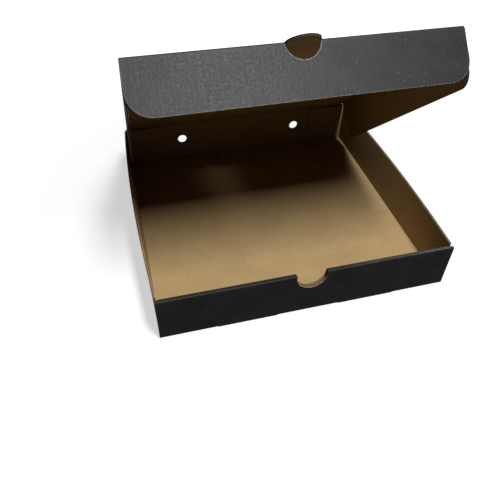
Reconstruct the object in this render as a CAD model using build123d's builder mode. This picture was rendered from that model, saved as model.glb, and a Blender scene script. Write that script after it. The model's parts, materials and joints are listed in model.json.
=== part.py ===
from build123d import *
import os

# Pizza box folded from one die-cut sheet of thin corrugated board, with its lid raised.
# The tray, the lid and the lid's front flap come from the same sheet. They are three
# pieces here because they turn on the two long creases between them.
# Frame: X to the right, Y to the back, Z up, origin at the centre of the tray's underside.

# Board and folds
board = 1.6
layer_gap = 0.2
fold_inside = 0.4
fold_outside = fold_inside + board
cut_gap = 0.3
corner_relief = 0.5

# Tray
tray_width = 260.0
tray_depth = 252.5
wall_height = 45.5
side_wall_bow = 4.0
back_wall_inset = 1.4
side = tray_width / 2
front = -tray_depth / 2
back = tray_depth / 2
rim_width = 3 * board + 2 * layer_gap
under_rim = wall_height - board - layer_gap

# Rolled front wall with its two locking tabs
inner_panel_clearance = 0.8
floor_gap = 0.4
lock_tab_width = 50.0
lock_tab_spacing = 108.0
lock_tab_taper = 1.5
lock_slot_clearance = 1.0
inner_panel_reach = side - board - inner_panel_clearance
inner_panel_foot = board + floor_gap
lock_tab_inner = (lock_tab_spacing - lock_tab_width) / 2
lock_tab_outer = (lock_tab_spacing + lock_tab_width) / 2
lock_slot_width = lock_tab_width + 2 * lock_slot_clearance
lock_slot_depth = rim_width + layer_gap

# Corner flaps at both ends of the side walls
front_corner_flap = 45.0
rear_corner_flap = 45.0
corner_flap_radius = 5.0
corner_slit_width = 1.2
corner_slit_angle = 60.0
corner_slit_bridge = 6.0
flap_face = board + layer_gap

# Vent holes and thumb notch
vent_diameter = 10.0
vent_spacing = 134.0
vent_height = 26.0
notch_radius = 13.5
notch_depth = 17.0

# Lid
lid_rest_gap = 0.4
lid_side_clearance = 1.1
lid_tuck_clearance = 4.0
lid_open_angle = 42.0
crease_gap = 0.4
crease_land = 0.2
side_flap_depth = 44.5
side_flap_radius = 13.0
side_flap_rear_clearance = 1.0
side_flap_rear_slope = 6.0
side_flap_rear_radius = 5.0
thumb_tab_radius = 13.2
hinge_height = wall_height + lid_rest_gap + board
lid_under = hinge_height - board
lid_width = tray_width - 2 * board - 2 * lid_side_clearance
lid_length = tray_depth - rim_width - lid_tuck_clearance
lid_front = back - lid_length
mitre = board - crease_land
side_flap_foot = hinge_height - side_flap_depth
side_flap_rear = back - flap_face - board - side_flap_rear_clearance
side_flap_front = lid_front + board + crease_gap

# Front flap of the lid
front_flap_depth = 42.0
front_flap_radius = 18.0

# The lid's crease runs along the top of the back wall's outer face
lid_crease = Axis((0, back, hinge_height), (1, 0, 0))


# Right side wall. It stands on the fold at the floor, bows outwards towards its raw top
# edge, and ends in a corner flap at the front and another at the back.
with BuildPart() as side_wall:
    # Fold between the floor and the wall
    fold_front = front + fold_outside + corner_relief
    fold_back = back - fold_outside - corner_relief
    with BuildSketch(Plane.XZ.offset(-fold_back)):
        with Locations((side - fold_outside, fold_outside)):
            Circle(fold_outside)
            Circle(fold_inside, mode=Mode.SUBTRACT)
            Rectangle(fold_outside, fold_outside, align=(Align.MIN, Align.MAX), mode=Mode.INTERSECT)
    extrude(amount=fold_back - fold_front)

    # Wall, straight at the fold and bowed at the top
    wall_front = front + flap_face + fold_outside
    wall_back = back - flap_face - fold_outside
    with BuildSketch(Plane.XY.offset(fold_outside)):
        with Locations((side, (wall_front + wall_back) / 2)):
            Rectangle(board, wall_back - wall_front, align=(Align.MAX, Align.CENTER))
    with BuildSketch(Plane.XY.offset(wall_height)):
        with BuildLine():
            middle = (wall_front + wall_back) / 2
            bowed = ThreePointArc((side, wall_front), (side + side_wall_bow, middle), (side, wall_back))
            back_end = Line(bowed @ 1, (side - board, wall_back))
            inner = ThreePointArc(back_end @ 1, (side - board + side_wall_bow, middle), (side - board, wall_front))
            Line(inner @ 1, bowed @ 0)
        make_face()
    loft(ruled=True)

    # Rear corner flap, folded flat inside the back wall
    with BuildSketch(Plane.XY.offset(fold_outside)):
        with BuildLine():
            bend = JernArc((side, wall_back), (0, 1), fold_outside, 90)
            Line(bend @ 1, (side - rear_corner_flap, back - flap_face))
            offset(amount=board, side=Side.LEFT)
        make_face()
    extrude(amount=wall_height - fold_outside)

    # Front corner flap, trapped between the two panels of the front wall
    with BuildSketch(Plane.XY.offset(fold_outside)):
        with BuildLine():
            bend = JernArc((side, wall_front), (0, -1), fold_outside, -90)
            Line(bend @ 1, (side - front_corner_flap, front + flap_face))
            offset(amount=board, side=Side.RIGHT)
        make_face()
    extrude(amount=under_rim - fold_outside)

    # The free corners of both flaps are rounded
    flap_reach = side - min(front_corner_flap, rear_corner_flap) + board
    flap_ends = side_wall.edges().filter_by(Axis.Y).filter_by_position(Axis.X, 0, flap_reach)
    fillet(flap_ends, radius=corner_flap_radius)

    # The wall steps down where the rim lies over it
    with BuildSketch(Plane.XY.offset(under_rim)):
        with Locations((side, front)):
            Rectangle(4 * board, 2 * (rim_width + cut_gap))
    extrude(amount=wall_height, mode=Mode.SUBTRACT)

    # The crease of the rear corner flap is cut through between two short bridges
    with BuildSketch(Plane.XY.offset(fold_outside + corner_slit_bridge)):
        with Locations((side - fold_outside, wall_back)):
            with PolarLocations(fold_outside - board / 2, 1, start_angle=corner_slit_angle):
                Rectangle(2 * board, corner_slit_width)
    extrude(amount=wall_height - fold_outside - 2 * corner_slit_bridge, mode=Mode.SUBTRACT)


# Tray: floor, back wall, rolled front wall and both side walls, all one folded sheet
with BuildPart() as tray:
    # Floor
    with BuildSketch(Plane.XY):
        Rectangle(tray_width - 2 * fold_outside, tray_depth - 2 * fold_outside)
    extrude(amount=board)

    # Outer panel of the front wall and the rim, rolled over towards the inside
    with BuildSketch(Plane.YZ.offset(-side)):
        with BuildLine():
            foot = JernArc((front + fold_outside, 0), (-1, 0), fold_outside, -90)
            outer = Line(foot @ 1, (front, wall_height - fold_outside))
            over = JernArc(outer @ 1, (0, 1), fold_outside, -90)
            rim = Line(over @ 1, (front + rim_width - fold_outside, wall_height))
            JernArc(rim @ 1, (1, 0), fold_outside, -90)
            offset(amount=board, side=Side.RIGHT)
        make_face()
    extrude(amount=tray_width)

    # At both ends only the rim reaches over the side walls, not its inner fold
    with BuildSketch(Plane.XY.offset(wall_height - board)):
        with Locations((-side, front + rim_width), (side, front + rim_width)):
            Rectangle(2 * (side - inner_panel_reach), 2 * (rim_width - fold_outside))
    extrude(amount=-board, mode=Mode.SUBTRACT)

    # Back wall. Its top is bevelled inwards, which lets the lid fold down square.
    with BuildSketch(Plane.YZ.offset(back_wall_inset - side)):
        with BuildLine():
            heel = JernArc((back - fold_outside, 0), (1, 0), fold_outside, 90)
            outside = Line(heel @ 1, (back, hinge_height - crease_gap))
            land = Line(outside @ 1, (back - crease_land, hinge_height - crease_gap))
            bevel = Line(land @ 1, (back - board, hinge_height - crease_gap - mitre))
            inside = Line(bevel @ 1, (back - board, fold_outside))
            hollow = JernArc(inside @ 1, (0, -1), fold_inside, -90)
            Line(hollow @ 1, heel @ 0)
        make_face()
    extrude(amount=tray_width - 2 * back_wall_inset)

    # Vent holes through the back wall
    with BuildSketch(Plane.XZ.offset(-back)):
        with Locations((0, vent_height)):
            with GridLocations(vent_spacing, 0, 2, 1):
                Circle(vent_diameter / 2)
    extrude(amount=board, mode=Mode.SUBTRACT)

    # Slots through the floor at the front fold, one for each locking tab
    with BuildSketch(Plane.XY):
        with Locations((0, front)):
            with GridLocations(lock_tab_spacing, 0, 2, 1):
                Rectangle(lock_slot_width, lock_slot_depth, align=(Align.CENTER, Align.MIN))
    extrude(amount=fold_outside, mode=Mode.SUBTRACT)

    # In front of each slot the outer panel isn't creased: it stands straight down as a lip
    with BuildSketch(Plane.XY):
        with Locations((0, front)):
            with GridLocations(lock_tab_spacing, 0, 2, 1):
                Rectangle(lock_slot_width, board, align=(Align.CENTER, Align.MIN))
    extrude(amount=fold_outside)

    # Inner panel of the front wall, with two tabs that lock down into the slots
    with BuildSketch(Plane.XZ.offset(-(front + rim_width - board))):
        with BuildLine():
            Polyline(
                (0, wall_height - fold_outside),
                (inner_panel_reach, wall_height - fold_outside),
                (inner_panel_reach, inner_panel_foot),
                (lock_tab_outer, inner_panel_foot),
                (lock_tab_outer - lock_tab_taper, 0),
                (lock_tab_inner + lock_tab_taper, 0),
                (lock_tab_inner, inner_panel_foot),
                (0, inner_panel_foot),
            )
            mirror(about=Plane.YZ)
        make_face()
    extrude(amount=-board)

    # Thumb notch through both panels and the rim
    with BuildSketch(Plane.XZ.offset(-front)):
        with Locations((0, wall_height - notch_depth + notch_radius)):
            Circle(notch_radius)
            Rectangle(2 * notch_radius, notch_depth, align=(Align.CENTER, Align.MIN))
    extrude(amount=-rim_width, mode=Mode.SUBTRACT)

    # Both side walls
    add(side_wall.part)
    mirror(side_wall.part, about=Plane.YZ)


# Lid, drawn closed: top panel, both side flaps and the thumb tab
with BuildPart() as lid:
    # Top panel with its two side flaps folded down
    with BuildSketch(Plane.XZ.offset(crease_gap - back)):
        with BuildLine():
            FilletPolyline(
                (-lid_width / 2, side_flap_foot),
                (-lid_width / 2, hinge_height),
                (lid_width / 2, hinge_height),
                (lid_width / 2, side_flap_foot),
                radius=fold_outside,
            )
            offset(amount=board, side=Side.RIGHT)
        make_face()
    extrude(amount=lid_length - 2 * crease_gap)

    # The side flaps stop short of the corner flaps behind and of the front flap
    with BuildSketch(Plane.YZ):
        with BuildLine():
            Polyline(
                (back, lid_under),
                (side_flap_rear, lid_under),
                (side_flap_rear - side_flap_rear_slope, side_flap_foot),
                (back, side_flap_foot),
                close=True,
            )
        make_face()
        with BuildLine():
            Polyline(
                (lid_front, lid_under),
                (side_flap_front, lid_under),
                (side_flap_front, side_flap_foot),
                (lid_front, side_flap_foot),
                close=True,
            )
        make_face()
    extrude(amount=lid_width, both=True, mode=Mode.SUBTRACT)

    # Rounded lower corners of the side flaps
    flap_corners = lid.edges().filter_by(Axis.X).group_by(Axis.Z)[0]
    fillet(flap_corners.group_by(Axis.Y)[0], radius=side_flap_radius)
    flap_corners = lid.edges().filter_by(Axis.X).group_by(Axis.Z)[0]
    fillet(flap_corners.group_by(Axis.Y)[-1], radius=side_flap_rear_radius)

    # Both ends of the top panel are bevelled at the underside, beside the creases
    with BuildSketch(Plane.YZ):
        with BuildLine():
            Polyline(
                (back - crease_gap, hinge_height - crease_land),
                (back - crease_gap, lid_under),
                (back - crease_gap - mitre, lid_under),
                close=True,
            )
        make_face()
        with BuildLine():
            Polyline(
                (lid_front + crease_gap, hinge_height - crease_land),
                (lid_front + crease_gap, lid_under),
                (lid_front + crease_gap + mitre, lid_under),
                close=True,
            )
        make_face()
    extrude(amount=lid_width, both=True, mode=Mode.SUBTRACT)

    # Thumb tab, cut out of the front flap and left in line with the top panel
    with BuildSketch(Plane.XY.offset(lid_under)):
        with Locations((0, lid_front)):
            Circle(thumb_tab_radius)
            Rectangle(
                2 * thumb_tab_radius,
                thumb_tab_radius,
                align=(Align.CENTER, Align.MIN),
                mode=Mode.SUBTRACT,
            )
            Rectangle(2 * thumb_tab_radius, crease_gap + board, align=(Align.CENTER, Align.MIN))
    extrude(amount=board)

    # Raised to its open angle
    add(lid.part.rotate(lid_crease, -lid_open_angle), mode=Mode.REPLACE)


# Front flap of the lid, drawn closed: a tuck flap with rounded corners and a round notch
with BuildPart() as front_flap:
    with BuildSketch(Plane.XZ.offset(-lid_front)) as flap_outline:
        with Locations((0, hinge_height - crease_gap)):
            Rectangle(lid_width, front_flap_depth - crease_gap, align=(Align.CENTER, Align.MAX))
        fillet(flap_outline.vertices().group_by(Axis.Y)[0], radius=front_flap_radius)
        with Locations((0, hinge_height)):
            Circle(thumb_tab_radius + cut_gap, mode=Mode.SUBTRACT)
    extrude(amount=-board)

    # Its top edge is bevelled to meet the bevel of the top panel
    with BuildSketch(Plane.YZ):
        with BuildLine():
            Polyline(
                (lid_front + crease_land, hinge_height - crease_gap),
                (lid_front + board, hinge_height - crease_gap),
                (lid_front + board, hinge_height - crease_gap - mitre),
                close=True,
            )
        make_face()
    extrude(amount=lid_width, both=True, mode=Mode.SUBTRACT)

    # Raised with the lid
    add(front_flap.part.rotate(lid_crease, -lid_open_angle), mode=Mode.REPLACE)


tray.part.label = "tray"
lid.part.label = "lid"
front_flap.part.label = "lid_front_flap"

os.makedirs("parts", exist_ok=True)
export_step(tray.part, "parts/tray.step")
export_step(lid.part, "parts/lid.step")
export_step(front_flap.part, "parts/lid_front_flap.step")
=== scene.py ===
# %% [markdown]
# A pizza box is one sheet of corrugated board: a black printed liner outside, a brown kraft
# liner inside, and a wavy paper between them. A plain slab could stand for each panel. Here
# the three papers are made as three thin skins, because every cut edge of the real box shows
# the wave between its two liners.

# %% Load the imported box
import json
import math

import bpy
import numpy as np
from mathutils import Matrix, Vector

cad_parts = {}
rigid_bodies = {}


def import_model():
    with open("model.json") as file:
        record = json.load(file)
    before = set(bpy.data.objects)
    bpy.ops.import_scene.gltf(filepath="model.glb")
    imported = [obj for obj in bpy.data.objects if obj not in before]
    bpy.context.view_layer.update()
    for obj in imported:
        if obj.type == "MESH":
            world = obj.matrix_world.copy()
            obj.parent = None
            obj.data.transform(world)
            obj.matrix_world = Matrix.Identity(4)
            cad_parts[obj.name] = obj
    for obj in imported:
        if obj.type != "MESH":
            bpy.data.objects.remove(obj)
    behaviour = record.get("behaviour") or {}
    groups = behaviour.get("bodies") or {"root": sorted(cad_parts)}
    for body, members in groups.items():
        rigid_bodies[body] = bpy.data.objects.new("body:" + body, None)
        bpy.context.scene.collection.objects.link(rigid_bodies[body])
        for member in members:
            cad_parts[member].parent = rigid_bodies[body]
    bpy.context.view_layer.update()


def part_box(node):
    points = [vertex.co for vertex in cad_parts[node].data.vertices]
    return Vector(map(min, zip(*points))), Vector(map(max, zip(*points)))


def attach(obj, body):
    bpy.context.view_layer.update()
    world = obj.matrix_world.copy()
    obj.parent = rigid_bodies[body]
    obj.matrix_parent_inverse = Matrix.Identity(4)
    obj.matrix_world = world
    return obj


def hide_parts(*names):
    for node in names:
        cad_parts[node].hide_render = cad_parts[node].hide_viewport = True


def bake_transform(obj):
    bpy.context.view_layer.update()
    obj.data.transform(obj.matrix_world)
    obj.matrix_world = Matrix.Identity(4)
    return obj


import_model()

# %% [markdown]
# The camera comes first, so that each render shows the box as the photograph does. Its place
# was worked out from the corners of the box. Its axes are written out from the compass angle,
# the height above the horizon and the small roll of a camera held by hand.

# %% Camera
MM = 0.001
IMAGE_WIDTH = 500
SENSOR_WIDTH = 36.0


def add_camera(place, azimuth, elevation, roll, focal_pixels):
    """Back axis (sin a cos e, -cos a cos e, sin e), right axis level, both then rolled."""
    a, e, r = (math.radians(v) for v in (azimuth, elevation, roll))
    backwards = Vector((math.sin(a) * math.cos(e), -math.cos(a) * math.cos(e), math.sin(e)))
    level = Vector((0, 0, 1)).cross(backwards).normalized()
    upright = backwards.cross(level)
    right = math.cos(r) * level + math.sin(r) * upright
    up = math.cos(r) * upright - math.sin(r) * level
    data = bpy.data.cameras.new("camera")
    data.sensor_fit = "HORIZONTAL"
    data.sensor_width = SENSOR_WIDTH
    data.lens = SENSOR_WIDTH * focal_pixels / IMAGE_WIDTH
    camera = bpy.data.objects.new("camera", data)
    bpy.context.scene.collection.objects.link(camera)
    turned = Matrix((right, up, backwards)).transposed().to_4x4()
    camera.matrix_world = Matrix.Translation(Vector(place)) @ turned
    bpy.context.scene.camera = camera
    return camera


camera = add_camera((-131.8 * MM, -394.5 * MM, 363.8 * MM), azimuth=-16.01, elevation=43.79,
                    roll=1.63, focal_pixels=528.4)
print("camera lens, mm:", round(camera.data.lens, 1))

# %% [markdown]
# These are the sizes of the folded board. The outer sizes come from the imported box. The rest
# are the real sizes of its panels, written once and named as a box maker would name them.

# %% Sizes of the board and its panels
BOARD = 1.6 * MM
LINER = 0.25 * MM
MEDIUM = 0.2 * MM
FLUTE_PITCH = 3.2 * MM
FLUTE_STEPS = 8
FOLD = 2.0 * MM
FOLD_POWER = 0.6
NEAR_FOLD = 1.5 * MM
CREASE_FADE = 1.2 * MM
COLUMN_STEP = 8.0 * MM
WALL_STEP = 12.0 * MM
WALL_ROWS = (20.0 * MM, 30.0 * MM)
LID_ROW_MARGIN = 20.0 * MM

SIDE = 130.0 * MM
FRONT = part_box("tray")[0][1]
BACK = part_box("tray")[1][1]
WALL_HEIGHT = 45.5 * MM
SIDE_WALL_BOW = 4.0 * MM
BACK_WALL_INSET = 1.4 * MM
LAYER_GAP = 0.2 * MM
RIM_WIDTH = 3 * BOARD + 2 * LAYER_GAP
RIM_FALL = 1.8 * MM
FLAP_FACE = BOARD + LAYER_GAP
UNDER_RIM = WALL_HEIGHT - FLAP_FACE - RIM_FALL
CORNER_RELIEF = 0.5 * MM

INNER_PANEL_CLEARANCE = 0.8 * MM
INNER_PANEL_REACH = SIDE - BOARD - INNER_PANEL_CLEARANCE
INNER_PANEL_FOOT = 2.0 * MM
LOCK_TAB_MIDDLE = 54.0 * MM
LOCK_TAB_HALF = 25.0 * MM
LOCK_TAB_IN, LOCK_TAB_OUT = LOCK_TAB_MIDDLE - LOCK_TAB_HALF, LOCK_TAB_MIDDLE + LOCK_TAB_HALF
LOCK_TAB_TAPER = 1.5 * MM
LOCK_SLOT_HALF = 26.0 * MM
LOCK_SLOT_IN, LOCK_SLOT_OUT = LOCK_TAB_MIDDLE - LOCK_SLOT_HALF, LOCK_TAB_MIDDLE + LOCK_SLOT_HALF
LOCK_SLOT_BACK = FRONT + RIM_WIDTH + LAYER_GAP
CORNER_FLAP = 45.0 * MM
CORNER_FLAP_RADIUS = 5.0 * MM
CORNER_FLAP_CLEARANCE = 0.3 * MM
SLIT_BRIDGE = 6.0 * MM
SLIT_FLAP_SIDE = 1.2 * MM
SLIT_WALL_SIDE = 1.5 * MM
VENT_RADIUS = 5.0 * MM
VENT_MIDDLE = 67.0 * MM
VENT_HEIGHT = 26.0 * MM
NOTCH_RADIUS = 13.5 * MM
NOTCH_DEPTH = 17.0 * MM

LID_ANGLE = math.radians(42.0)
LID_REST_GAP = 0.4 * MM
HINGE_HEIGHT = WALL_HEIGHT + LID_REST_GAP + BOARD
LID_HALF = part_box("lid")[1][0]
LID_LENGTH = 243.3 * MM
LID_FRONT = BACK - LID_LENGTH
SIDE_FLAP_DEPTH = 44.5 * MM
SIDE_FLAP_RADIUS = 13.0 * MM
SIDE_FLAP_FRONT_CLEARANCE = 2.0 * MM
SIDE_FLAP_FRONT = LID_FRONT + SIDE_FLAP_FRONT_CLEARANCE
SIDE_FLAP_REAR_CLEARANCE = 1.0 * MM
SIDE_FLAP_REAR = BACK - FLAP_FACE - BOARD - SIDE_FLAP_REAR_CLEARANCE
SIDE_FLAP_SLOPE = 6.0 * MM
SIDE_FLAP_SPRING = 0.9 * MM
FRONT_FLAP_DEPTH = 42.0 * MM
FRONT_FLAP_RADIUS = 18.0 * MM
FRONT_FLAP_CURL = 1.8 * MM
TAB_RADIUS = 13.2 * MM
TAB_GAP = 0.3 * MM
NOTCH_OVER_TAB = TAB_RADIUS + TAB_GAP
CREASE_PLAY = 0.05 * MM
CREASE_REACH = BOARD + CREASE_PLAY
CREASE_END_GAP = 0.6 * MM
CREASE_SINK = 0.35
print("tray, mm:", round(2000 * SIDE), "wide,", round(1000 * (BACK - FRONT), 1), "deep")

# %% [markdown]
# A folded panel follows a line with right-angle corners. The line is the black face of the
# board, and depth is measured from it towards the kraft side, which is always on the right of
# the way the line runs. A quarter circle would do for the corners, but pressed board folds
# more sharply outside than inside, so the black face takes a squarer curve.

# %% The folded line
class FoldedLine:
    """Straight legs joined by folds that reach FOLD to each side of a corner, in two axes.

    With d0 and d1 the ways in and out of a corner c, the fold's centre is m = c - FOLD d0 +
    FOLD d1. The black face is m + FOLD (d0 sin^p t - d1 cos^p t) with p = FOLD_POWER, and
    the kraft face is the quarter circle m + (FOLD - BOARD) (d0 sin t - d1 cos t).
    """

    def __init__(self, *corners, steps=6):
        corners = [np.array(c, float) for c in corners]
        ways = [(b - a) / np.linalg.norm(b - a) for a, b in zip(corners, corners[1:])]
        points, rights = [corners[0]], [self.right(ways[0])]
        self.starts, self.steps = [(0, corners[0])], steps
        t = np.linspace(0, math.pi / 2, steps + 1)[:, None]
        sine, cosine = np.sin(t), np.abs(np.cos(t))
        for corner, way_in, way_out in zip(corners[1:], ways, ways[1:]):
            centre = corner - FOLD * way_in + FOLD * way_out
            black = centre + FOLD * (way_in * sine ** FOLD_POWER - way_out * cosine ** FOLD_POWER)
            brown = centre + (FOLD - BOARD) * (way_in * sine - way_out * cosine)
            points.extend(black)
            rights.extend((brown - black) / BOARD)
            self.starts.append((len(points) - 1, points[-1]))
        points.append(corners[-1])
        rights.append(self.right(ways[-1]))
        self.points, self.rights, self.ways = np.array(points), np.array(rights), ways
        steps_between = np.linalg.norm(np.diff(self.points, axis=0), axis=1)
        self.s = np.concatenate([[0], np.cumsum(steps_between)])

    @staticmethod
    def right(way):
        """The way (a, b) turned a quarter to the right: (b, -a)."""
        return np.array([way[1], -way[0]])

    def on(self, leg, point):
        """Distance along the line of a point that lies on one of its legs."""
        index, start = self.starts[leg]
        return self.s[index] + (np.array(point, float) - start) @ self.ways[leg]

    def fold(self, corner):
        """Where the fold at a corner, counted from 1, begins and ends along the line."""
        end = self.starts[corner][0]
        return self.s[end - self.steps], self.s[end]

    def at(self, s, depth):
        """The point at distance s, moved by depth towards the kraft side."""
        return [np.interp(s, self.s, self.points[:, axis])
                + depth * np.interp(s, self.s, self.rights[:, axis]) for axis in (0, 1)]


# %% [markdown]
# A panel is a set of patches. On each patch one number runs over the columns and the other
# over the rows, and the rows are clipped to a lower and an upper outline. That is how round
# corners, notches and vent holes get smooth edges on a plain grid, with no boolean cuts.

# %% Patches and skins
WELD = 1e-6
DECIMALS = 7
SAME = 1e-7
SHARP_ANGLE = math.radians(35)
ROUNDING = 1e-9


def flat(value):
    """A straight outline: the same value over every column."""
    return lambda u: np.full_like(u, value)


def merged(*parts):
    """All the columns in rising order, each once, rounded to a tenth of a micrometre."""
    return np.unique(np.round(np.concatenate(parts), DECIMALS))


def beside(fold_edge, side):
    """Two values next to a fold, before it for side -1 and behind it for side 1."""
    return [fold_edge + side * NEAR_FOLD, fold_edge + 2 * side * NEAR_FOLD]


def patch_grid(columns, rows, low, high):
    """u is the column, v the row clipped between low(u) and high(u)."""
    u = np.repeat(columns[:, None], len(rows), axis=1)
    v = np.clip(rows[None, :], low(columns)[:, None], high(columns)[:, None])
    return u, v


def grid_triangles(n_columns, n_rows):
    """Two triangles for each cell of a grid whose vertices are numbered column by column."""
    corner = (np.arange(n_columns - 1)[:, None] * n_rows + np.arange(n_rows - 1)[None, :]).ravel()
    a, b, c, d = corner, corner + n_rows, corner + n_rows + 1, corner + 1
    return np.concatenate([np.stack([a, b, c], 1), np.stack([a, c, d], 1)])


class Panel:
    """Patches of one flat or folded panel, and the function that puts them in space.

    place(u, v, depth) gives x, y, z. flutes_over says which of u and v runs across the
    flutes, and folds lists where the board is creased, each as (u or v, start, end).
    """

    def __init__(self, place, rows, patches, flutes_over="u", folds=()):
        self.place, self.rows, self.patches = place, np.unique(np.asarray(rows, float)), patches
        self.flutes_over, self.folds = flutes_over, folds

    def crease(self, u, v):
        """1 at a fold, and exp(-(distance / CREASE_FADE)^2) away from it."""
        nearness = np.zeros_like(u)
        for axis, start, end in self.folds:
            value = u if axis == "u" else v
            away = np.maximum(np.maximum(start - value, value - end), 0)
            nearness = np.maximum(nearness, np.exp(-((away / CREASE_FADE) ** 2)))
        return nearness


def refine(values, step):
    """The same values with more between them, so that none lie further apart than step."""
    counts = np.maximum(np.ceil(np.diff(values) / step - ROUNDING).astype(int), 1)
    parts = [np.linspace(a, b, n, endpoint=False) for a, b, n in zip(values, values[1:], counts)]
    return np.concatenate(parts + [values[-1:]])


def wave(across):
    """Depth of the wavy paper: the middle of the board and a sine of one flute pitch."""
    swing = (BOARD - 2 * LINER - MEDIUM) / 2
    return BOARD / 2 + swing * np.sin(2 * math.pi * across / FLUTE_PITCH)


def skin_arrays(panels, layer):
    """Top and bottom points, triangles, sheet coordinates and creases of one paper layer."""
    tops, bottoms, triangles, sheets, creases, count = [], [], [], [], [], 0
    for panel in panels:
        for columns, low, high in panel.patches:
            rows = panel.rows
            if layer == "flutes" and panel.flutes_over == "u":
                columns = refine(columns, FLUTE_PITCH / FLUTE_STEPS)
            if layer == "flutes" and panel.flutes_over == "v":
                rows = refine(rows, FLUTE_PITCH / FLUTE_STEPS)
            u, v = patch_grid(columns, rows, low, high)
            across, along = (u, v) if panel.flutes_over == "u" else (v, u)
            if layer == "outer":
                near, far = 0 * u, 0 * u + LINER
            elif layer == "inner":
                near, far = 0 * u + BOARD - LINER, 0 * u + BOARD
            elif layer == "pressed":
                near, far = 0 * u, 0 * u + BOARD
            else:
                near, far = wave(across) - MEDIUM / 2, wave(across) + MEDIUM / 2
            top = np.stack(panel.place(u, v, near), -1).reshape(-1, 3)
            bottom = np.stack(panel.place(u, v, far), -1).reshape(-1, 3)
            tri = grid_triangles(*u.shape)
            p = top[tri]
            normal = np.cross(p[:, 1] - p[:, 0], p[:, 2] - p[:, 0])
            inward = (bottom - top)[tri[:, 0]]
            if (normal * inward).sum() > 0:
                tri = tri[:, ::-1]
            tops.append(top)
            bottoms.append(bottom)
            triangles.append(tri + count)
            sheets.append(np.stack([across, along], -1).reshape(-1, 2))
            creases.append(panel.crease(u, v).ravel())
            count += len(top)
    return [np.concatenate(part) for part in (tops, bottoms, triangles, sheets, creases)]


def welded(tops, triangles):
    """Numbers the points so that those in one place share a number, and drops empty triangles."""
    keys = np.round(tops / WELD).astype(np.int64)
    _, first, number = np.unique(keys, axis=0, return_index=True, return_inverse=True)
    tri = number.ravel()[triangles]
    whole = (tri[:, 0] != tri[:, 1]) & (tri[:, 1] != tri[:, 2]) & (tri[:, 2] != tri[:, 0])
    return first, tri[whole]


def closed_skin(name, panels, layer, materials):
    """A paper layer as a closed mesh: its two faces, and a wall along every free edge.

    The materials are those of the face on the black side, the face on the kraft side and
    the wall.
    """
    tops, bottoms, triangles, sheets, creases = skin_arrays(panels, layer)
    first, tri = welded(tops, triangles)
    tops, bottoms, sheets, creases = tops[first], bottoms[first], sheets[first], creases[first]
    count = len(tops)
    edges = np.concatenate([tri[:, [0, 1]], tri[:, [1, 2]], tri[:, [2, 0]]])
    codes = edges[:, 0] * count + edges[:, 1]
    free = edges[~np.isin(codes, edges[:, 1] * count + edges[:, 0])]
    wall = np.concatenate([
        np.stack([free[:, 1], free[:, 0], free[:, 0] + count], 1),
        np.stack([free[:, 1], free[:, 0] + count, free[:, 1] + count], 1),
    ])
    faces = np.concatenate([tri, tri[:, ::-1] + count, wall])
    kinds = np.concatenate([np.zeros(len(tri)), np.ones(len(tri)), np.full(len(wall), 2)])
    return new_mesh(name, np.concatenate([tops, bottoms]), faces, kinds.astype(int), materials,
                    np.tile(sheets, (2, 1)), np.tile(creases, 2))


def new_mesh(name, points, faces, kinds, materials, sheet, crease):
    """Puts the arrays in a mesh. The UV map holds metres across and along the flutes."""
    mesh = bpy.data.meshes.new(name)
    mesh.vertices.add(len(points))
    mesh.vertices.foreach_set("co", points.ravel())
    mesh.loops.add(faces.size)
    mesh.loops.foreach_set("vertex_index", faces.ravel())
    mesh.polygons.add(len(faces))
    mesh.polygons.foreach_set("loop_start", np.arange(len(faces)) * 3)
    mesh.polygons.foreach_set("material_index", kinds)
    mesh.polygons.foreach_set("use_smooth", np.ones(len(faces), bool))
    mesh.update(calc_edges=True)
    uv = mesh.uv_layers.new(name="sheet")
    uv.data.foreach_set("uv", sheet[faces.ravel()].ravel())
    attribute = mesh.attributes.new("crease", "FLOAT", "POINT")
    attribute.data.foreach_set("value", crease)
    mesh.set_sharp_from_angle(angle=SHARP_ANGLE)
    for material in materials:
        mesh.materials.append(material)
    obj = bpy.data.objects.new(name, mesh)
    bpy.context.scene.collection.objects.link(obj)
    print(name, len(points), "points,", len(faces), "triangles")
    return obj


# %% [markdown]
# Shader maths reads best as plain expressions. This small class holds one socket, and each
# operator adds the Math node that it stands for. Colours are mixed with Mix nodes.

# %% Shader maths
NOISE_ROUGHNESS = 0.6


class Socket:
    """A node's output that can be added, multiplied and so on in Python."""

    def __init__(self, material, socket):
        self.material, self.socket = material, socket

    def math(self, operation, *others, swapped=False):
        """A Math node on this socket and the others, in the opposite order if swapped."""
        inputs = [self, *others]
        if swapped:
            inputs.reverse()
        settings = {"operation": operation}
        return self.material.node("ShaderNodeMath", settings, dict(enumerate(inputs)))

    def __add__(self, other):
        return self.math("ADD", other)

    __radd__ = __add__

    def __mul__(self, other):
        return self.math("MULTIPLY", other)

    __rmul__ = __mul__

    def __sub__(self, other):
        return self.math("SUBTRACT", other)

    def __rsub__(self, other):
        return self.math("SUBTRACT", other, swapped=True)

    def __pow__(self, other):
        return self.math("POWER", other)

    def sine(self):
        return self.math("SINE")

    def between(self, low, high):
        """0 below low, 1 above high, and a smooth step from one to the other."""
        settings = {"interpolation_type": "SMOOTHSTEP"}
        return self.material.node("ShaderNodeMapRange", settings, {0: self, 1: low, 2: high})


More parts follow.
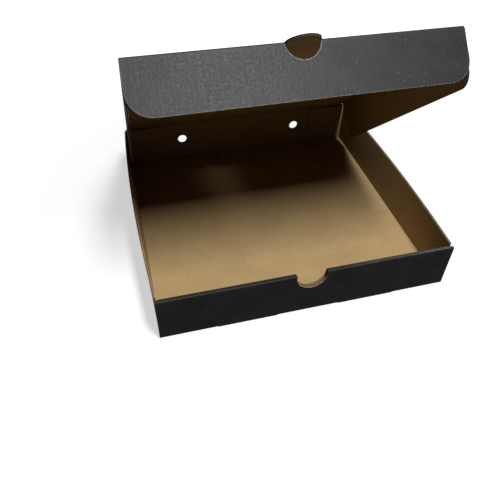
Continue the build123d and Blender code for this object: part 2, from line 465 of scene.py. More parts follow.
class Finish:
    """A material and its node tree, with one method for every kind of node."""

    def __init__(self, name):
        self.material = bpy.data.materials.new(name)
        self.material.use_nodes = True
        self.tree = self.material.node_tree
        self.shader = self.tree.nodes["Principled BSDF"]

    def node(self, kind, settings=None, inputs=None, output=0):
        """Adds a node, makes its settings and then feeds its inputs."""
        node = self.tree.nodes.new(kind)
        for key, value in (settings or {}).items():
            setattr(node, key, value)
        for key, value in (inputs or {}).items():
            self.feed(node.inputs[key], value)
        return Socket(self, node.outputs[output])

    def feed(self, socket, value):
        """Links a Socket to the node's socket, or sets a plain value."""
        if isinstance(value, Socket):
            self.tree.links.new(value.socket, socket)
        else:
            socket.default_value = value

    def set(self, **inputs):
        """Feeds sockets of the shader, with spaces in their names written as underscores."""
        for key, value in inputs.items():
            self.feed(self.shader.inputs[key.replace("_", " ")], value)
        return self.material

    def sheet(self):
        """The UV map in metres, and the ribs: sin(2 pi x / FLUTE_PITCH), x across the flutes."""
        uv = self.node("ShaderNodeUVMap", {"uv_map": "sheet"})
        across = self.node("ShaderNodeSeparateXYZ", {}, {0: uv})
        return uv, (across * (2 * math.pi / FLUTE_PITCH)).sine()

    def crease(self):
        """The attribute of the mesh that is 1 at a fold."""
        return self.node("ShaderNodeAttribute", {"attribute_name": "crease"}, output="Fac")

    def noise(self, vector, scale, detail=3.0, stretch=(1, 1, 1)):
        """Fractal noise with scale patterns to a metre, times stretch on each axis."""
        scaled = self.node("ShaderNodeMapping", {}, {0: vector, 3: stretch})
        inputs = {"Vector": scaled, "Scale": scale, "Detail": detail, "Roughness": NOISE_ROUGHNESS}
        return self.node("ShaderNodeTexNoise", {}, inputs)

    def vector(self, operation, *inputs):
        """A Vector Math node, which works on all three axes at once."""
        return self.node("ShaderNodeVectorMath", {"operation": operation}, dict(enumerate(inputs)))

    def length(self, vector):
        settings = {"operation": "LENGTH"}
        return self.node("ShaderNodeVectorMath", settings, {0: vector}, output="Value")

    def mix(self, factor, first, second):
        """First colour where factor is 0, second where it is 1."""
        settings = {"data_type": "RGBA"}
        return self.node("ShaderNodeMix", settings, {0: factor, 6: first, 7: second}, output=2)

    def bump(self, height, distance):
        """The normal of a surface that is raised by height times distance."""
        inputs = {"Height": height, "Distance": distance, "Strength": 1.0}
        return self.node("ShaderNodeBump", {}, inputs)


# %% [markdown]
# The outside is kraft paper printed black all over. It is matt, with a soft sheen, fine pale
# flecks where the ink is thin, a little dust, and a faint ribbing from the flutes beneath. At
# the folds the ink cracks a little and the brown paper shows. A thin pale line, which a distance
# to the flap's outline draws, runs round the front flap and its notch. Round the outline it is
# ink that the knife knocked off; along the notch it is a painted highlight, for the notch's lit cut
# edge.

# %% Black printed liner
INK, FADED_INK = (0.013, 0.013, 0.0134, 1), (0.0175, 0.0175, 0.018, 1)
THIN_INK = (0.12, 0.112, 0.1, 1)
DUST = (0.24, 0.232, 0.216, 1)
CRACKED_PAPER = (0.192, 0.152, 0.104, 1)
# The pale line round the front flap: bare paper round its outline, and a painted highlight along
# its notch, for the notch's lit cut edge.
CHIPS_AND_HIGHLIGHT_COLOUR = (0.368, 0.32, 0.264, 1)
PALE_LINE_START, PALE_LINE_END = 0.2 * MM, 0.7 * MM
OUTLINE_CHIPS = 0.4
PRINT_RELIEF = 0.03 * MM


def chips_and_painted_highlight(finish, uv):
    """1 at the flap's notch, where the pale line is a painted highlight for the notch's lit cut
    edge, and OUTLINE_CHIPS at its outline, where it is bare paper; falling to 0 at PALE_LINE_END.

    With p = (|x|, way down from the crease), corner radius r and the flap's half size h, the
    outline is r - |max(p - h + r, 0)| away, and the notch is |p| less its radius away.
    """
    turned = finish.vector("MULTIPLY_ADD", uv, (1, -1, 0), (0, HINGE_HEIGHT, 0))
    point = finish.vector("ABSOLUTE", turned)
    straight = (LID_HALF - FRONT_FLAP_RADIUS, FRONT_FLAP_DEPTH - FRONT_FLAP_RADIUS, 0)
    beyond = finish.vector("MAXIMUM", finish.vector("SUBTRACT", point, straight), (0, 0, 0))
    to_outline = FRONT_FLAP_RADIUS - finish.length(beyond)
    to_notch = finish.length(point) - NOTCH_OVER_TAB
    past_notch = to_notch.between(PALE_LINE_START, PALE_LINE_END)
    past_outline = to_outline.between(PALE_LINE_START, PALE_LINE_END)
    return 1 + OUTLINE_CHIPS - past_notch - past_outline * OUTLINE_CHIPS


def black_print(name, pale_line=None):
    """The print, and with pale_line(finish, uv) a pale line where that is 1: bare paper where the
    ink has come off, and painted highlight where it stands for a lit cut edge.
    """
    finish = Finish(name)
    uv, ribs = finish.sheet()
    clouds = finish.noise(uv, scale=40.0, detail=3.0)
    mottle = finish.noise(uv, scale=500.0, detail=3.0)
    streaks = finish.noise(uv, scale=420.0, detail=2.0, stretch=(1, 0.1, 1))
    grain = finish.noise(uv, scale=1900.0, detail=2.0)
    flecks = (grain * 0.55 + mottle * 0.45).between(0.60, 0.67)
    ink = finish.mix(clouds.between(0.35, 0.65), INK, FADED_INK)
    inked = finish.mix(flecks * 0.7, ink, THIN_INK)
    dust = finish.noise(uv, scale=650.0, detail=0.0).between(0.76, 0.86)
    dusted = finish.mix(dust * 0.35, inked, DUST)
    cracks = finish.noise(uv, scale=3200.0, detail=2.0).between(0.48, 0.62) * finish.crease()
    marked_colour = finish.mix(cracks * 0.04, dusted, CRACKED_PAPER)
    if pale_line:
        # Painted highlight along the notch and bare paper round the outline, in a thin pale line.
        chips_and_highlight = pale_line(finish, uv) * mottle.between(0.35, 0.6) * 0.8
        marked_colour = finish.mix(chips_and_highlight, marked_colour, CHIPS_AND_HIGHLIGHT_COLOUR)
    height = ribs * clouds * 0.35 + mottle * 1.5 + grain * 0.8 - finish.crease() * 1.5
    return finish.set(
        Base_Color=marked_colour,
        Roughness=0.32 + mottle * 0.3 + streaks * 0.08,
        Specular_IOR_Level=0.24,
        Normal=finish.bump(height, PRINT_RELIEF),
    )


# %% [markdown]
# The inside is bare kraft: brown, quite matt, with long fibres along the flutes, soft clouds,
# a few dark specks, and the same faint ribbing. At the folds a darker brown is painted in: painted
# shade, for the shade that lies in a fold. The wavy paper and the cut edges are the same paper in
# other browns.

# %% Kraft liner, wavy paper and cut edges
SPECK = (0.128, 0.08, 0.04, 1)
# The dark brown at the folds is painted shade, for the shade that lies in a fold.
PAINTED_FOLD_SHADE = (0.16, 0.104, 0.048, 1)
KRAFT_RELIEF = 0.04 * MM
FACE_RIBBING = 0.25


def kraft(name, dark, light, ribbing=0.0):
    """Paper between two colours, with the ribs of the flutes in relief by ribbing, and painted
    shade darkening the folds.
    """
    finish = Finish(name)
    uv, ribs = finish.sheet()
    fibres = finish.noise(uv, scale=700.0, detail=5.0, stretch=(1, 0.2, 1))
    clouds = finish.noise(uv, scale=30.0, detail=3.0)
    specks = finish.noise(uv, scale=1300.0, detail=1.0).between(0.66, 0.74)
    tone = (fibres * 0.55 + clouds * 0.45).between(0.32, 0.68)
    paper = finish.mix(tone, dark, light)
    speckled = finish.mix(specks * 0.35, paper, SPECK)
    # Painted shade: the folds are darkened in the colour.
    with_painted_fold_shade = finish.mix(finish.crease() ** 2 * 0.5, speckled, PAINTED_FOLD_SHADE)
    height = ribs * ribbing + fibres * 0.7 + clouds * 0.3 - finish.crease() * 2.0
    return finish.set(
        Base_Color=with_painted_fold_shade,
        Roughness=0.78 + fibres * 0.12,
        Specular_IOR_Level=0.35,
        Normal=finish.bump(height, KRAFT_RELIEF),
    )


printed = black_print("black_print")
chipped_and_highlit_print = black_print("chipped_and_highlit_print", chips_and_painted_highlight)
kraft_face = kraft("kraft_face", (0.328, 0.222, 0.099, 1), (0.388, 0.266, 0.125, 1), FACE_RIBBING)
kraft_raw = kraft("kraft_raw", (0.24, 0.168, 0.092, 1), (0.304, 0.22, 0.128, 1))
cut_edge = kraft("cut_edge", (0.288, 0.216, 0.132, 1), (0.4, 0.312, 0.208, 1))
inky_edge = kraft("inky_edge", (0.04, 0.0336, 0.028, 1), (0.128, 0.096, 0.064, 1))
print("finishes:", [m.name for m in bpy.data.materials])

# %% [markdown]
# The tray's long strip runs from the top of the back wall down to the floor, forwards, up the
# front wall, over the rim and down again inside. Its columns run from left to right. The rim
# could be level, but the roll pulls its inner fold down, which is why it looks dark and narrow
# from the front, with a thin line of light along the outer fold.

# %% The tray's strip from back to front
STRIP_COLUMNS = 53
strip = FoldedLine((BACK, HINGE_HEIGHT), (BACK, 0), (FRONT, 0), (FRONT, WALL_HEIGHT))
rim_back = FRONT + RIM_WIDTH
lip_line = FoldedLine((FRONT, 0), (FRONT, WALL_HEIGHT), (rim_back, WALL_HEIGHT - RIM_FALL),
                      (rim_back, 0))


def round_columns(middle, radius, steps=12):
    """Columns over a circle, closer together towards its sides: middle + radius sin t."""
    return middle + radius * np.sin(np.linspace(-math.pi / 2, math.pi / 2, 2 * steps + 1))


def both_sides(*values):
    """Each value with its mirror twin on the left."""
    return np.array([s * v for v in values for s in (-1, 1)])


strip_columns = merged(
    both_sides(SIDE, SIDE - BACK_WALL_INSET, SIDE - FOLD, INNER_PANEL_REACH),
    both_sides(LOCK_SLOT_IN, LOCK_SLOT_OUT),
    both_sides(LOCK_TAB_IN, LOCK_TAB_OUT),
    both_sides(LOCK_TAB_IN + LOCK_TAB_TAPER, LOCK_TAB_OUT - LOCK_TAB_TAPER),
    round_columns(0, NOTCH_RADIUS),
    round_columns(-VENT_MIDDLE, VENT_RADIUS),
    round_columns(VENT_MIDDLE, VENT_RADIUS),
    np.linspace(-SIDE, SIDE, STRIP_COLUMNS),
)


def columns_between(low, high, columns=strip_columns):
    """The columns from low to high, both included."""
    return columns[(columns >= low - SAME) & (columns <= high + SAME)]


def place_on(line):
    """Left to right is x; the line lies in the plane of y and z."""
    def place(u, v, depth):
        y, z = line.at(v, depth)
        return u, y, z
    return place


def circle_low(middle, radius, centre):
    """Lower half of a circle over the columns: centre - sqrt(radius^2 - (u - middle)^2)."""
    return lambda u: centre - np.sqrt(np.maximum(radius ** 2 - (u - middle) ** 2, 0))


def circle_high(middle, radius, centre):
    """Upper half of the same circle: centre + sqrt(radius^2 - (u - middle)^2)."""
    return lambda u: centre + np.sqrt(np.maximum(radius ** 2 - (u - middle) ** 2, 0))


def back_and_floor():
    """The strip's part from the back wall's top, round its foot, to the foot of the front wall."""
    top = strip.on(0, (BACK, HINGE_HEIGHT - CREASE_REACH))
    vent = strip.on(0, (BACK, VENT_HEIGHT))
    heel_start, heel = strip.fold(1)
    slot = strip.on(1, (LOCK_SLOT_BACK, 0))
    toe, toe_end = strip.fold(2)
    rows = [top, top + NEAR_FOLD, vent - VENT_RADIUS, vent, vent + VENT_RADIUS, slot,
            *beside(heel_start, -1), *beside(heel, 1), *beside(toe, -1),
            *columns_between(heel_start, toe_end, strip.s)]
    wall, floor = SIDE - BACK_WALL_INSET, SIDE - FOLD
    inner, outer = VENT_MIDDLE - VENT_RADIUS, VENT_MIDDLE + VENT_RADIUS
    patches = []
    for a, b in ((-wall, -outer), (-inner, inner), (outer, wall)):
        patches.append((columns_between(a, b), flat(top), flat(heel)))
    for side in (-1, 1):
        over_vent = columns_between(*sorted((side * inner, side * outer)))
        middle = side * VENT_MIDDLE
        patches.append((over_vent, flat(top), circle_low(middle, VENT_RADIUS, vent)))
        patches.append((over_vent, circle_high(middle, VENT_RADIUS, vent), flat(heel)))
    between_slots = (-LOCK_SLOT_IN, LOCK_SLOT_IN)
    for a, b in ((-floor, -LOCK_SLOT_OUT), between_slots, (LOCK_SLOT_OUT, floor)):
        patches.append((columns_between(a, b), flat(heel), flat(toe)))
    for a, b in ((-LOCK_SLOT_OUT, -LOCK_SLOT_IN), (LOCK_SLOT_IN, LOCK_SLOT_OUT)):
        patches.append((columns_between(a, b), flat(heel), flat(slot)))
    for a, b in ((-SIDE, -LOCK_SLOT_OUT), between_slots, (LOCK_SLOT_OUT, SIDE)):
        patches.append((columns_between(a, b), flat(toe), flat(toe_end)))
    folds = [("v", heel_start, heel), ("v", toe, toe_end), ("v", top - MM, top)]
    return Panel(place_on(strip), rows, patches, folds=folds)


def front_wall():
    """The rolled wall. v runs up the outer panel, over the rim and down the inner panel."""
    rim_start, rim = lip_line.fold(1)
    rim_end, inside = lip_line.fold(2)
    centre = WALL_HEIGHT - NOTCH_DEPTH + NOTCH_RADIUS
    notch_out = lip_line.on(0, (FRONT, centre))
    notch_in = lip_line.on(2, (rim_back, centre))
    foot = lip_line.on(2, (rim_back, INNER_PANEL_FOOT))
    tip = lip_line.on(2, (rim_back, 0))
    rows = [0, FOLD, *beside(FOLD, 1), *beside(rim_start, -1), *beside(inside, 1),
            notch_out - NOTCH_RADIUS, notch_out, notch_in, notch_in + NOTCH_RADIUS,
            foot, tip, *lip_line.s]

    def tab_end(u):
        """The inner panel's lower edge, longer by a tab with slanted sides."""
        inset = np.minimum(np.abs(u) - LOCK_TAB_IN, LOCK_TAB_OUT - np.abs(u)) / LOCK_TAB_TAPER
        return foot + (tip - foot) * np.clip(inset, 0, 1)

    bands = [
        (NOTCH_RADIUS, LOCK_SLOT_IN, FOLD, flat(foot)),
        (LOCK_SLOT_IN, LOCK_TAB_IN, 0, flat(foot)),
        (LOCK_TAB_IN, LOCK_TAB_OUT, 0, tab_end),
        (LOCK_TAB_OUT, LOCK_SLOT_OUT, 0, flat(foot)),
        (LOCK_SLOT_OUT, INNER_PANEL_REACH, FOLD, flat(foot)),
        (INNER_PANEL_REACH, SIDE, FOLD, flat(rim_end)),
    ]
    patches = []
    for inner, outer, start, end in bands:
        for a, b in ((-outer, -inner), (inner, outer)):
            patches.append((columns_between(a, b), flat(start), end))
    middle = columns_between(-NOTCH_RADIUS, NOTCH_RADIUS)
    patches.append((middle, flat(FOLD), circle_low(0, NOTCH_RADIUS, notch_out)))
    patches.append((middle, circle_high(0, NOTCH_RADIUS, notch_in), flat(foot)))
    folds = [("v", 0, FOLD), ("v", rim_start, rim), ("v", rim_end, inside)]
    return Panel(place_on(lip_line), rows, patches, folds=folds)


# %% [markdown]
# A side wall and its two corner flaps are one strip too, but its flutes lie level. Seen from
# above the strip goes along the rear corner flap, round the corner, forwards along the wall and
# round the front corner. The wall bows outwards towards its raw top edge, because nothing
# holds it there.

# %% Side walls with their corner flaps
CORNER_FLAP_STEPS = 9


def round_end(radius, steps):
    """Ways from a round end, closer together near it: radius (1 - cos t)."""
    return radius * (1 - np.cos(np.linspace(0, math.pi / 2, steps)))


def side_wall(side):
    """The wall on the right for side 1 and on the left for side -1."""
    line = FoldedLine((SIDE - CORNER_FLAP, BACK - FLAP_FACE), (SIDE, BACK - FLAP_FACE),
                      (SIDE, FRONT + FLAP_FACE), (SIDE - CORNER_FLAP, FRONT + FLAP_FACE))
    rear_fold, wall_start = line.fold(1)
    wall_end, front_fold = line.fold(2)
    step = line.on(1, (SIDE, rim_back + CORNER_FLAP_CLEARANCE))
    length = line.s[-1]
    half = (wall_end - wall_start) / 2
    bow_radius = (half ** 2 + SIDE_WALL_BOW ** 2) / (2 * SIDE_WALL_BOW)

    def place(u, v, depth):
        """u runs along the strip and v is the height; the bow is part of a circle."""
        x, y = line.at(u, depth)
        from_middle = np.minimum(np.abs(u - wall_start - half), half)
        bow = np.sqrt(bow_radius ** 2 - from_middle ** 2) - (bow_radius - SIDE_WALL_BOW)
        rise = np.clip((v - FOLD) / (WALL_HEIGHT - FOLD), 0, 1)
        return side * (x + bow * rise), y, v

    def corner(s, end):
        """How far a round corner cuts into the flap: r - sqrt(r^2 - (r - way to the end)^2)."""
        short = np.maximum(CORNER_FLAP_RADIUS - np.abs(s - end), 0)
        return CORNER_FLAP_RADIUS - np.sqrt(np.maximum(CORNER_FLAP_RADIUS ** 2 - short ** 2, 0))

    def rear_low(s):
        """The rear flap's lower edge, with its round end."""
        return FOLD + corner(s, 0)

    def rear_high(s):
        """The rear flap's upper edge, with its round end."""
        return WALL_HEIGHT - corner(s, 0)

    def front_low(s):
        """The front flap's lower edge, with its round end."""
        return FOLD + corner(s, length)

    def front_high(s):
        """The front flap's upper edge, which lies under the rim."""
        return UNDER_RIM - corner(s, length)

    slit_low, slit_high = FOLD + SLIT_BRIDGE, WALL_HEIGHT - SLIT_BRIDGE
    slit_start, slit_end = rear_fold + SLIT_FLAP_SIDE, wall_start - SLIT_WALL_SIDE
    ends = round_end(CORNER_FLAP_RADIUS, CORNER_FLAP_STEPS)
    columns = merged(
        line.s, ends, length - ends, [slit_start, slit_end, step],
        refine(np.array([wall_start, wall_end]), WALL_STEP),
        beside(rear_fold, -1), beside(wall_start, 1),
    )
    rows = [FOLD, *beside(FOLD, 1), FOLD + CORNER_FLAP_RADIUS, slit_low,
            *WALL_ROWS, UNDER_RIM - CORNER_FLAP_RADIUS, slit_high,
            WALL_HEIGHT - CORNER_FLAP_RADIUS, UNDER_RIM, WALL_HEIGHT]
    patches = [
        (columns_between(0, slit_start, columns), rear_low, rear_high),
        (columns_between(slit_start, slit_end, columns), flat(FOLD), flat(slit_low)),
        (columns_between(slit_start, slit_end, columns), flat(slit_high), flat(WALL_HEIGHT)),
        (columns_between(slit_end, step, columns), flat(FOLD), flat(WALL_HEIGHT)),
        (columns_between(step, length, columns), front_low, front_high),
    ]
    folds = [("u", rear_fold, wall_start), ("u", wall_end, front_fold), ("v", FOLD - MM, FOLD)]
    return Panel(place, rows, patches, flutes_over="v", folds=folds)


def side_fold(side):
    """The fold between the floor and a side wall, carried from front to back."""
    line = FoldedLine((SIDE, WALL_HEIGHT), (SIDE, 0), (0, 0))
    start, end = line.fold(1)

    def place(u, v, depth):
        """u runs round the fold, and v from front to back."""
        x, z = line.at(u, depth)
        return side * x, v, z

    ends = [FRONT + FOLD + CORNER_RELIEF, BACK - FOLD - CORNER_RELIEF]
    patch = (columns_between(start, end, line.s), flat(ends[0]), flat(ends[1]))
    return Panel(place, ends, [patch], folds=[("u", start, end)])


tray_panels = [back_and_floor(), front_wall()]
tray_panels += [side_wall(-1), side_wall(1), side_fold(-1), side_fold(1)]

# %% [markdown]
# Each body of the box is dressed by three skins. They ride on it, so that they turn with it
# at the creases. They also stand for its CAD node, because its plain slab would fill the
# hollows between the waves.

# %% Dress the tray
# For each layer: the end of its name, its slot, and the paper of its face on the kraft side.
LAYERS = {
    "outer": ("outer_liner", "board", kraft_raw),
    "inner": ("inner_liner", "kraft", kraft_face),
    "flutes": ("flutes", "cut_edge", kraft_raw),
}


def dress(node, body, panels, moved=None, edge=cut_edge, black=printed):
    """Makes the three paper layers of one node and puts them on its body."""
    for layer, (suffix, slot, back) in LAYERS.items():
        front = black if layer == "outer" else kraft_raw
        piece = closed_skin(f"{node}_{suffix}", panels, layer, (front, back, edge))
        if moved:
            piece.data.transform(moved)
        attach(piece, body)
        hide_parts(node)


dress("tray", "tray", tray_panels)

# %% [markdown]
# The lid is worked out closed and then turned up about the crease, as the real one is. Its
# strip runs from one side flap over the top panel to the other, with the flutes from front to
# back, so that the columns run across the lid and the rows are its front and rear outlines.
# The knife drew the black liner over the lid's cut edges, so they are darker than the others.

# %% The lid
SIDE_FLAP_STEPS = 13
LID_ROWS = 9


def raised(angle, y, z):
    """The turn about a crease that lies along x through (y, z)."""
    centre = Vector((0, y, z))
    turn = Matrix.Rotation(-angle, 4, "X")
    return Matrix.Translation(centre) @ turn @ Matrix.Translation(-centre)


lid_turn = raised(LID_ANGLE, BACK, HINGE_HEIGHT)


def lid_panel():
    """The lid with its two side flaps and its thumb tab, still closed."""
    foot = HINGE_HEIGHT - SIDE_FLAP_DEPTH
    line = FoldedLine((-LID_HALF, foot), (-LID_HALF, HINGE_HEIGHT), (LID_HALF, HINGE_HEIGHT),
                      (LID_HALF, foot))
    left_fold, top_start = line.fold(1)
    top_end, right_fold = line.fold(2)
    middle = line.s[-1] / 2

    def down(u):
        """How far a column of a side flap lies below the top of the lid, and 0 on the lid."""
        return np.maximum(SIDE_FLAP_DEPTH - np.minimum(u, line.s[-1] - u), 0)

    def place(u, v, depth):
        """The side flaps spring outwards with the square of the way down."""
        x, z = line.at(u, depth)
        return x + np.sign(x) * SIDE_FLAP_SPRING * (down(u) / SIDE_FLAP_DEPTH) ** 2, v, z

    def flap_front(u):
        """The side flap's front edge, with a round lower corner."""
        short = np.maximum(down(u) - (SIDE_FLAP_DEPTH - SIDE_FLAP_RADIUS), 0)
        rise = np.sqrt(np.maximum(SIDE_FLAP_RADIUS ** 2 - short ** 2, 0))
        return SIDE_FLAP_FRONT + SIDE_FLAP_RADIUS - rise

    def flap_rear(u):
        """The side flap's rear edge, which slopes forwards on its way down."""
        return SIDE_FLAP_REAR - SIDE_FLAP_SLOPE * np.clip(down(u) / SIDE_FLAP_DEPTH, 0, 1)

    def top_rear(u):
        """The lid's rear edge, cut forwards along the fold so that the fold clears the tray."""
        return rear + (flap_rear(u) - rear) * np.clip(down(u) / FOLD, 0, 1)

    ends = round_end(SIDE_FLAP_RADIUS, SIDE_FLAP_STEPS)
    columns = merged(
        line.s, ends, line.s[-1] - ends, middle + round_columns(0, TAB_RADIUS),
        refine(line.s, COLUMN_STEP),
        [left_fold - NEAR_FOLD, top_start + NEAR_FOLD, top_end - NEAR_FOLD, right_fold + NEAR_FOLD],
    )
    front, rear = LID_FRONT + CREASE_REACH, BACK - CREASE_REACH
    rows = [LID_FRONT - TAB_RADIUS, LID_FRONT, front, *beside(front, 1),
            SIDE_FLAP_FRONT, SIDE_FLAP_FRONT + SIDE_FLAP_RADIUS, SIDE_FLAP_REAR - SIDE_FLAP_SLOPE,
            SIDE_FLAP_REAR, *beside(rear, -1), rear,
            *np.linspace(LID_FRONT + LID_ROW_MARGIN, BACK - LID_ROW_MARGIN, LID_ROWS)]
    tab_left, tab_right = middle - TAB_RADIUS, middle + TAB_RADIUS
    tab_edge = circle_low(middle, TAB_RADIUS, LID_FRONT)
    patches = [
        (columns_between(0, left_fold, columns), flap_front, flap_rear),
        (columns_between(left_fold, tab_left, columns), flat(front), top_rear),
        (columns_between(tab_left, tab_right, columns), tab_edge, flat(rear)),
        (columns_between(tab_right, right_fold, columns), flat(front), top_rear),
        (columns_between(right_fold, line.s[-1], columns), flap_front, flap_rear),
    ]
    folds = [("u", left_fold, top_start), ("u", top_end, right_fold), ("v", rear, rear + MM)]
    return Panel(place, rows, patches, folds=folds)


dress("lid", "lid", [lid_panel()], lid_turn, inky_edge)

# %% [markdown]
# The front flap hangs from the lid's front crease. Its lower corners are round, and its notch
# is the place that the thumb tab was cut from. It curls outwards a little, which lights its
# lower half.

# %% The lid's front flap
FLAP_CORNER_STEPS = 15
FLAP_COLUMNS = 33
FLAP_ROWS = 8


def flap_panel():
    """The front flap, still closed."""
    def place(u, v, depth):
        """The curl grows with the square of the way down from the crease."""
        curl = FRONT_FLAP_CURL * ((HINGE_HEIGHT - v) / FRONT_FLAP_DEPTH) ** 2
        return u, LID_FRONT - curl + depth, v

    low = HINGE_HEIGHT - FRONT_FLAP_DEPTH
    straight = LID_HALF - FRONT_FLAP_RADIUS
    notch = NOTCH_OVER_TAB

    def lower_edge(u):
        """Level in the middle, with a round corner at each end."""
        over = np.maximum(np.abs(u) - straight, 0)
        return low + FRONT_FLAP_RADIUS - np.sqrt(np.maximum(FRONT_FLAP_RADIUS ** 2 - over ** 2, 0))

    corner = straight + FRONT_FLAP_RADIUS * np.sin(np.linspace(0, math.pi / 2, FLAP_CORNER_STEPS))
    columns = merged(both_sides(*corner), round_columns(0, notch),
                     np.linspace(-straight, straight, FLAP_COLUMNS))
    top = HINGE_HEIGHT - CREASE_REACH
    rows = [*np.linspace(low, top - 2 * NEAR_FOLD, FLAP_ROWS), low + FRONT_FLAP_RADIUS,
            HINGE_HEIGHT - notch, top - NEAR_FOLD, top, HINGE_HEIGHT]

    def upper_edge(u):
        """The notch, cut off level at the crease."""
        return np.minimum(circle_low(0, notch, HINGE_HEIGHT)(u), top)

    patches = [
        (columns_between(-LID_HALF, -notch, columns), lower_edge, flat(top)),
        (columns_between(-notch, notch, columns), lower_edge, upper_edge),
        (columns_between(notch, LID_HALF, columns), lower_edge, flat(top)),
    ]
    return Panel(place, rows, patches, folds=[("v", top, HINGE_HEIGHT)])


dress("lid_front_flap", "front_flap", [flap_panel()], lid_turn, black=chipped_and_highlit_print)

# %% [markdown]
# At a crease the board is pressed thin, and it bends there. The two creases that turn could
# be left as gaps, but light would show through them. They are pieces of their own, which
# meet one panel at one edge and the other panel at the other, as the box stands.

# %% The two creases that bend
CREASE_ROWS = 9


def bent(start, corner, end, t):
    """(1 - t)^2 start + 2 t (1 - t) corner + t^2 end, a curve drawn towards the corner."""
    t = t[..., None]
    return (1 - t) ** 2 * start + 2 * t * (1 - t) * corner + t ** 2 * end


def add_crease(name, spans, corner, ways, inwards):
    """A strip of pressed board: an outer and an inner curve, carried from left to right.

    The two ways point from the corner along the panels, and the two inwards through their
    thickness, all as (y, z).
    """
    corner, ways, inwards = (np.array(part, float) for part in (corner, ways, inwards))
    outer = corner + CREASE_REACH * ways
    inner = outer + BOARD * inwards
    pressed = corner + CREASE_SINK * BOARD * inwards.sum(0)

    def place(u, v, depth):
        t, share = v / (2 * CREASE_REACH), (depth / BOARD)[..., None]
        near, far = bent(outer[0], corner, outer[1], t), bent(inner[0], pressed, inner[1], t)
        y, z = np.moveaxis((1 - share) * near + share * far, -1, 0)
        return u, y, z

    rows = np.linspace(0, 2 * CREASE_REACH, CREASE_ROWS)
    low, high = flat(rows[0]), flat(rows[-1])
    patches = [(refine(np.array(span), COLUMN_STEP), low, high) for span in spans]
    panel = Panel(place, rows, patches, folds=[("v", CREASE_REACH, CREASE_REACH)])
    piece = closed_skin(name, [panel], "pressed", (printed, kraft_face, cut_edge))
    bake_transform(piece)


along = np.array([-math.cos(LID_ANGLE), math.sin(LID_ANGLE)])
down = np.array([-math.sin(LID_ANGLE), -math.cos(LID_ANGLE)])
reach = LID_HALF - CREASE_END_GAP
add_crease("lid_crease", [(-reach, reach)], (BACK, HINGE_HEIGHT), [(0, -1), along], [(-1, 0), down])
front_fold = np.array([BACK, HINGE_HEIGHT]) + LID_LENGTH * along
add_crease("front_flap_crease", [(-reach, -NOTCH_OVER_TAB), (NOTCH_OVER_TAB, reach)], front_fold,
           [-along, down], [down, -along])

# %% [markdown]
# The floor and the backdrop are white to the camera only. Every other ray, glossy ones too,
# meets a plain floor, because the box has no metal or glass that would show a white room, and
# bounced light would wash out the black board. The floor still takes the box's soft shadow:
# near the box part of its white is lamplight, and farther out it is all its own.
# One long softbox above lights the box as in the photograph. Two lamps behind it show its back
# and sides. They are linked to the black faces alone, because they would else shine in over
# the side walls and take away the shade under the lid.

# %% Floor, world and lamps
FLOOR_PLAIN = 0.12
FLOOR_SEEN = 0.4
FLOOR_GLOW = 0.6
GLOW_START, GLOW_END = 0.22, 0.45
FLOOR_HALF = 4.0
BOX_MIDDLE = Vector((0, 0, 0.08))


def floor_finish():
    """Diffuse FLOOR_PLAIN, and for the camera FLOOR_SEEN and a glow that grows to 1 outwards."""
    finish = Finish("floor")
    tree = finish.tree
    tree.nodes.remove(finish.shader)
    seen = finish.node("ShaderNodeLightPath", output="Is Camera Ray")
    place = finish.node("ShaderNodeTexCoord", output="Object")
    outwards = finish.length(place).between(GLOW_START, GLOW_END)
    glow = (FLOOR_GLOW + outwards * (1 - FLOOR_GLOW)) * seen
    grey = FLOOR_PLAIN + seen * (FLOOR_SEEN - FLOOR_PLAIN)
    lit = finish.node("ShaderNodeBsdfDiffuse", {}, {"Color": grey})
    own = finish.node("ShaderNodeEmission", {}, {"Strength": glow})
    both = finish.node("ShaderNodeAddShader", {}, {0: lit, 1: own})
    tree.links.new(both.socket, tree.nodes["Material Output"].inputs["Surface"])
    return finish.material


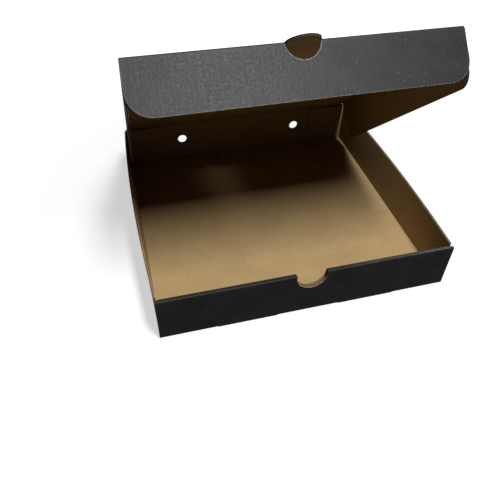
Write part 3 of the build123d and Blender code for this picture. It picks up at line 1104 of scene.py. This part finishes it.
def add_floor():
    """A square that reaches FLOOR_HALF to each side of the box's middle."""
    mesh = bpy.data.meshes.new("floor")
    half = FLOOR_HALF
    corners = [(-half, -half, 0), (half, -half, 0), (half, half, 0), (-half, half, 0)]
    mesh.from_pydata(corners, [], [(0, 1, 2, 3)])
    mesh.materials.append(floor_finish())
    floor = bpy.data.objects.new("floor", mesh)
    bpy.context.scene.collection.objects.link(floor)


def add_softbox(name, direction, distance, width, length, power):
    """An oblong lamp that looks at the middle of the box, with its length from front to back."""
    data = bpy.data.lights.new(name, "AREA")
    data.shape, data.size, data.size_y, data.energy = "RECTANGLE", width, length, power
    lamp = bpy.data.objects.new(name, data)
    way = Vector(direction).normalized()
    across = (Vector((1, 0, 0)) - way.x * way).normalized()
    turned = Matrix((across, way.cross(across), way)).transposed().to_4x4()
    lamp.matrix_world = Matrix.Translation(BOX_MIDDLE + distance * way) @ turned
    bpy.context.scene.collection.objects.link(lamp)
    return lamp


def light_only(lamps, objects):
    """Links the lamps to the objects, so that they light nothing else."""
    lit = bpy.data.collections.new("lit_from_behind")
    for obj in objects:
        lit.objects.link(obj)
    for lamp in lamps:
        lamp.light_linking.receiver_collection = lit


def set_world(ambient, seen):
    """The sky is ambient to the surfaces and seen to the camera."""
    world = bpy.data.worlds.new("world")
    world.use_nodes = True
    tree = world.node_tree
    background = tree.nodes["Background"]
    background.inputs["Color"].default_value = (1, 1, 1, 1)
    rays = tree.nodes.new("ShaderNodeLightPath")
    choose = tree.nodes.new("ShaderNodeMapRange")
    choose.inputs["To Min"].default_value, choose.inputs["To Max"].default_value = ambient, seen
    tree.links.new(rays.outputs["Is Camera Ray"], choose.inputs["Value"])
    tree.links.new(choose.outputs["Result"], background.inputs["Strength"])
    bpy.context.scene.world = world


add_floor()
add_softbox("key_lamp", (0.13, -0.39, 0.92), distance=1.5, width=0.22, length=0.70, power=30.0)
behind = [add_softbox(f"back_lamp_{side}", (x, 0.6, 0.38), distance=1.8,
                      width=0.8, length=0.8, power=16.0)
          for side, x in (("left", -0.7), ("right", 0.7))]
black_faces = [obj for obj in bpy.data.objects if obj.name.endswith(("outer_liner", "crease"))]
light_only(behind, black_faces)
set_world(ambient=0.016, seen=1.0)
bpy.context.scene.view_settings.view_transform = "Standard"
